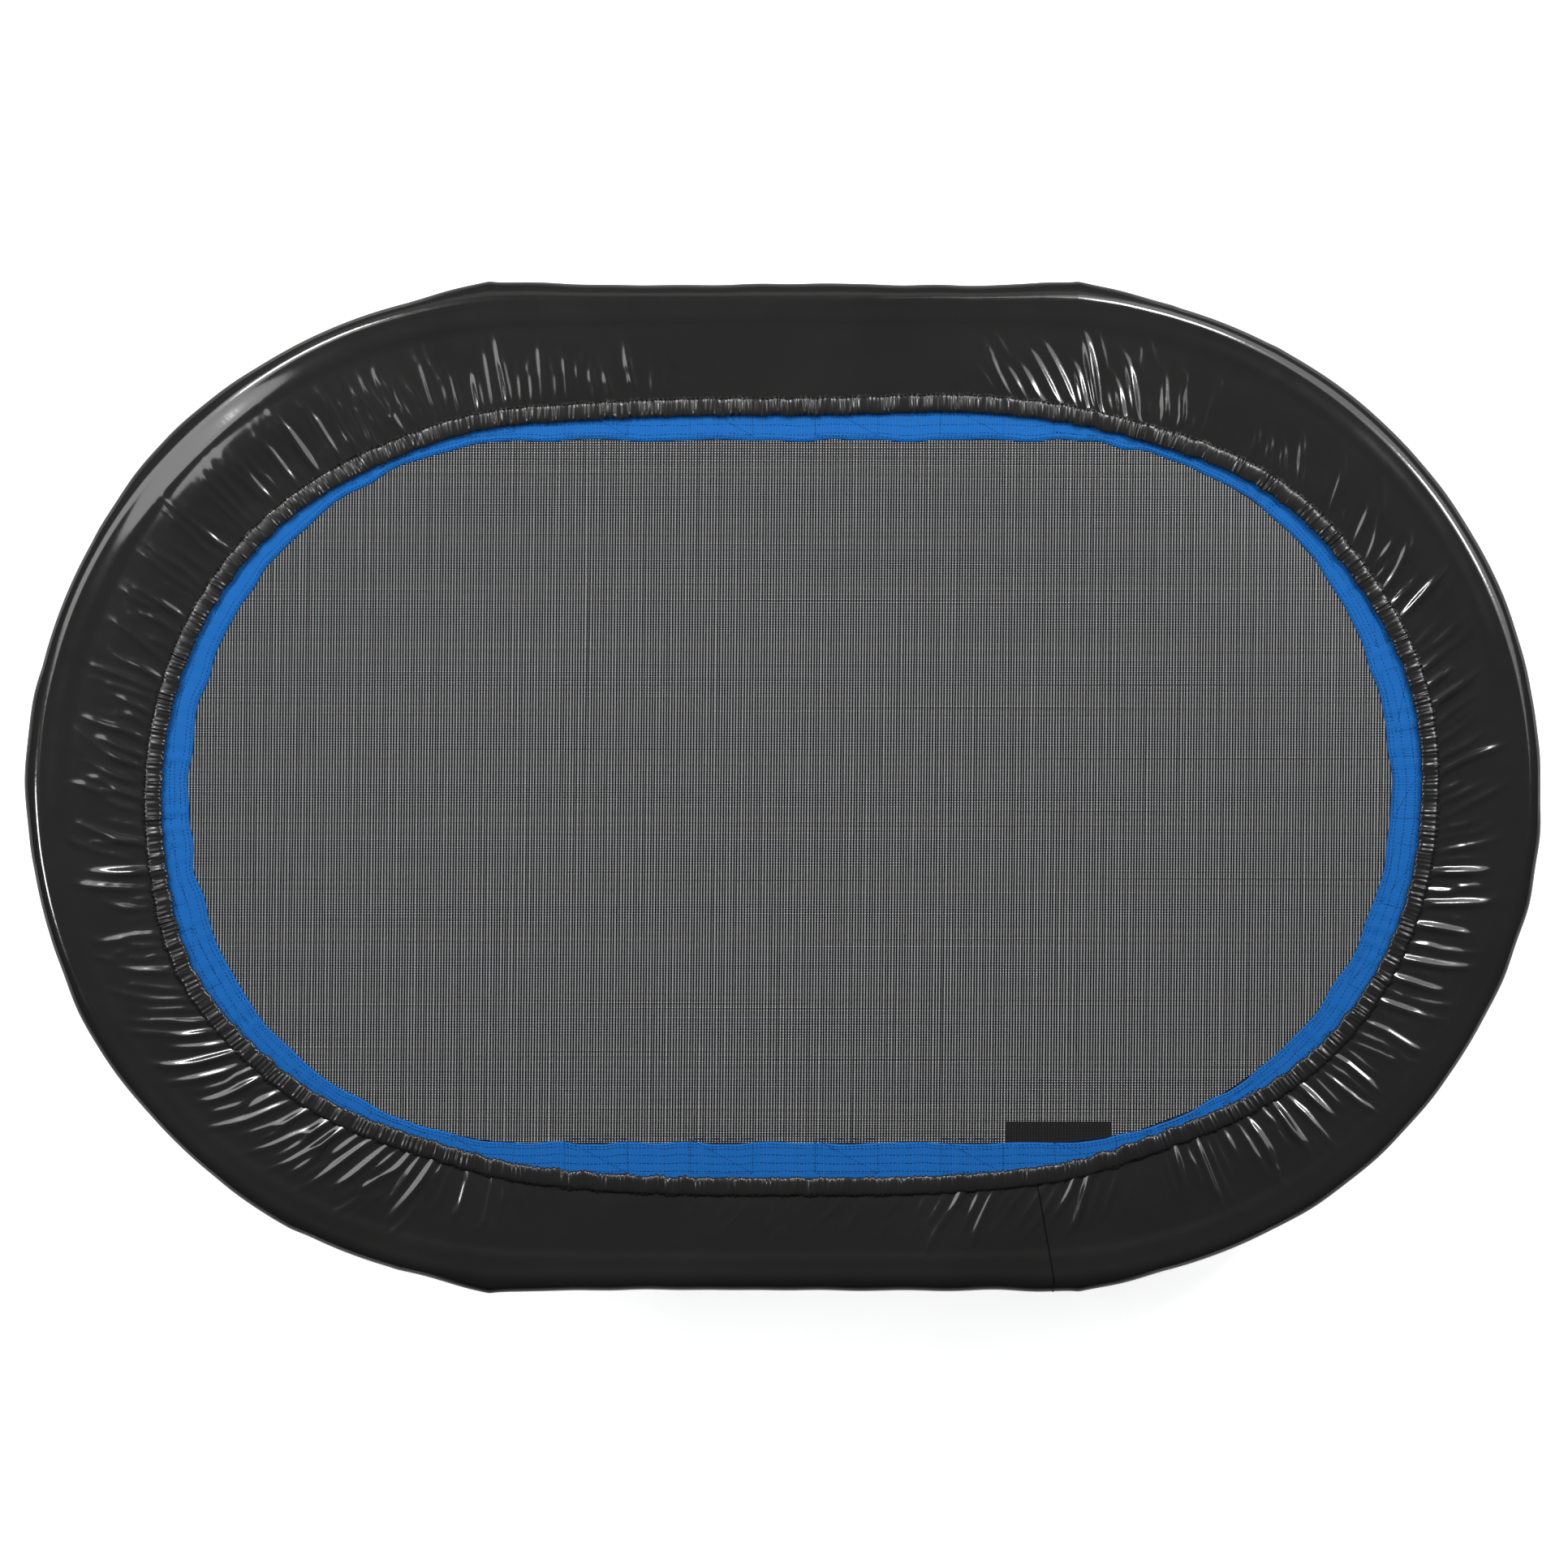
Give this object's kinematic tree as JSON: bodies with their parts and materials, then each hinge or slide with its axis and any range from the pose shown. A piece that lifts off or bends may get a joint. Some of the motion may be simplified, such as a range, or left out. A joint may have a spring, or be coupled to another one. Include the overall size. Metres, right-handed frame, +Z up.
{
  "type": "oval mini trampoline",
  "caption": "Low oval indoor trampoline: a woven mat hung on steel springs in a tubular rail on folding legs, with a gathered vinyl cover over the springs.",
  "frame": {"origin": "on the floor under the middle of the oval", "axes": "+X along the oval's long direction, +Y across it towards the rear side, +Z up out of the jumping surface"},
  "size_m": [1.5, 1.0012, 0.23],
  "materials": {
    "powder_coated_steel": "satin black powder coat",
    "zinc_plated_steel": "bright zinc plate",
    "spring_steel": "bright zinc-plated wire",
    "cover_vinyl": "glossy thin vinyl sheet, gathered",
    "elastic": "woven elastic",
    "mat_weave": "open polypropylene weave",
    "blue_webbing": "ribbed polypropylene webbing, stitched",
    "strap_webbing": "ribbed polypropylene strap",
    "tag_cloth": "plain woven tag",
    "foot_rubber": "matt moulded rubber"
  },
  "bodies": {
    "frame": {"front_side_rail": "powder_coated_steel", "rear_side_rail": "powder_coated_steel", "left_end_rail": "powder_coated_steel", "right_end_rail": "powder_coated_steel", "front_left_spigot": "zinc_plated_steel", "front_right_spigot": "zinc_plated_steel", "rear_left_spigot": "zinc_plated_steel", "rear_right_spigot": "zinc_plated_steel", "rail_bolts": "zinc_plated_steel", "rail_nuts": "zinc_plated_steel", "pivot_bolts": "zinc_plated_steel", "pivot_nuts": "zinc_plated_steel", "front_left_bracket": "powder_coated_steel", "front_right_bracket": "powder_coated_steel", "rear_left_bracket": "powder_coated_steel", "rear_right_bracket": "powder_coated_steel", "left_end_bracket": "powder_coated_steel", "right_end_bracket": "powder_coated_steel", "cover_skin": "cover_vinyl", "inner_elastic": "elastic", "hem_elastic": "elastic", "front_springs": "spring_steel", "rear_springs": "spring_steel", "left_springs": "spring_steel", "right_springs": "spring_steel"},
    "mat": {"jump_mat": "mat_weave", "edge_webbing_top": "blue_webbing", "edge_webbing_bottom": "blue_webbing", "ring_straps": "strap_webbing", "mat_rings": "spring_steel", "sewn_tag": "tag_cloth"},
    "front_left_leg": {"front_left_leg_tube": "powder_coated_steel", "front_left_foot_cap": "foot_rubber", "front_left_button_spring": "spring_steel"},
    "front_left_button": {"front_left_snap_button": "zinc_plated_steel"},
    "front_right_leg": {"front_right_leg_tube": "powder_coated_steel", "front_right_foot_cap": "foot_rubber", "front_right_button_spring": "spring_steel"},
    "front_right_button": {"front_right_snap_button": "zinc_plated_steel"},
    "rear_left_leg": {"rear_left_leg_tube": "powder_coated_steel", "rear_left_foot_cap": "foot_rubber", "rear_left_button_spring": "spring_steel"},
    "rear_left_button": {"rear_left_snap_button": "zinc_plated_steel"},
    "rear_right_leg": {"rear_right_leg_tube": "powder_coated_steel", "rear_right_foot_cap": "foot_rubber", "rear_right_button_spring": "spring_steel"},
    "rear_right_button": {"rear_right_snap_button": "zinc_plated_steel"},
    "left_end_leg": {"left_end_leg_tube": "powder_coated_steel", "left_end_foot_cap": "foot_rubber", "left_end_button_spring": "spring_steel"},
    "left_end_button": {"left_end_snap_button": "zinc_plated_steel"},
    "right_end_leg": {"right_end_leg_tube": "powder_coated_steel", "right_end_foot_cap": "foot_rubber", "right_end_button_spring": "spring_steel"},
    "right_end_button": {"right_end_snap_button": "zinc_plated_steel"}
  },
  "joints": [
    {"name": "mat_bounce", "type": "slide", "parent": "frame", "child": "mat", "axis": [0, 0, 1], "range_m": [-0.06, 0], "stiffness_N_per_m": 6000, "springref_m": 0.005, "deforming": ["front_springs", "rear_springs", "left_springs", "right_springs"]},
    {"name": "front_left_leg_fold", "type": "hinge", "parent": "frame", "child": "front_left_leg", "pos_m": [-0.3, -0.467, 0.1757], "axis": [0, -1, 0], "range_deg": [0, 90]},
    {"name": "front_left_button_press", "type": "slide", "parent": "front_left_leg", "child": "front_left_button", "axis": [0, 1, 0], "range_m": [0, 0.0065], "stiffness_N_per_m": 800, "springref_m": -0.003, "deforming": ["front_left_button_spring"]},
    {"name": "front_right_leg_fold", "type": "hinge", "parent": "frame", "child": "front_right_leg", "pos_m": [0.3, -0.467, 0.1757], "axis": [0, 1, 0], "range_deg": [0, 90]},
    {"name": "front_right_button_press", "type": "slide", "parent": "front_right_leg", "child": "front_right_button", "axis": [0, 1, 0], "range_m": [0, 0.0065], "stiffness_N_per_m": 800, "springref_m": -0.003, "deforming": ["front_right_button_spring"]},
    {"name": "rear_left_leg_fold", "type": "hinge", "parent": "frame", "child": "rear_left_leg", "pos_m": [-0.3, 0.467, 0.1757], "axis": [0, -1, 0], "range_deg": [0, 90]},
    {"name": "rear_left_button_press", "type": "slide", "parent": "rear_left_leg", "child": "rear_left_button", "axis": [0, -1, 0], "range_m": [0, 0.0065], "stiffness_N_per_m": 800, "springref_m": -0.003, "deforming": ["rear_left_button_spring"]},
    {"name": "rear_right_leg_fold", "type": "hinge", "parent": "frame", "child": "rear_right_leg", "pos_m": [0.3, 0.467, 0.1757], "axis": [0, 1, 0], "range_deg": [0, 90]},
    {"name": "rear_right_button_press", "type": "slide", "parent": "rear_right_leg", "child": "rear_right_button", "axis": [0, -1, 0], "range_m": [0, 0.0065], "stiffness_N_per_m": 800, "springref_m": -0.003, "deforming": ["rear_right_button_spring"]},
    {"name": "left_end_leg_fold", "type": "hinge", "parent": "frame", "child": "left_end_leg", "pos_m": [-0.722, 0, 0.1757], "axis": [0, -1, 0], "range_deg": [0, 90]},
    {"name": "left_end_button_press", "type": "slide", "parent": "left_end_leg", "child": "left_end_button", "axis": [0, 1, 0], "range_m": [0, 0.0065], "stiffness_N_per_m": 800, "springref_m": -0.003, "deforming": ["left_end_button_spring"]},
    {"name": "right_end_leg_fold", "type": "hinge", "parent": "frame", "child": "right_end_leg", "pos_m": [0.722, 0, 0.1757], "axis": [0, 1, 0], "range_deg": [0, 90]},
    {"name": "right_end_button_press", "type": "slide", "parent": "right_end_leg", "child": "right_end_button", "axis": [0, 1, 0], "range_m": [0, 0.0065], "stiffness_N_per_m": 800, "springref_m": -0.003, "deforming": ["right_end_button_spring"]}
  ]
}
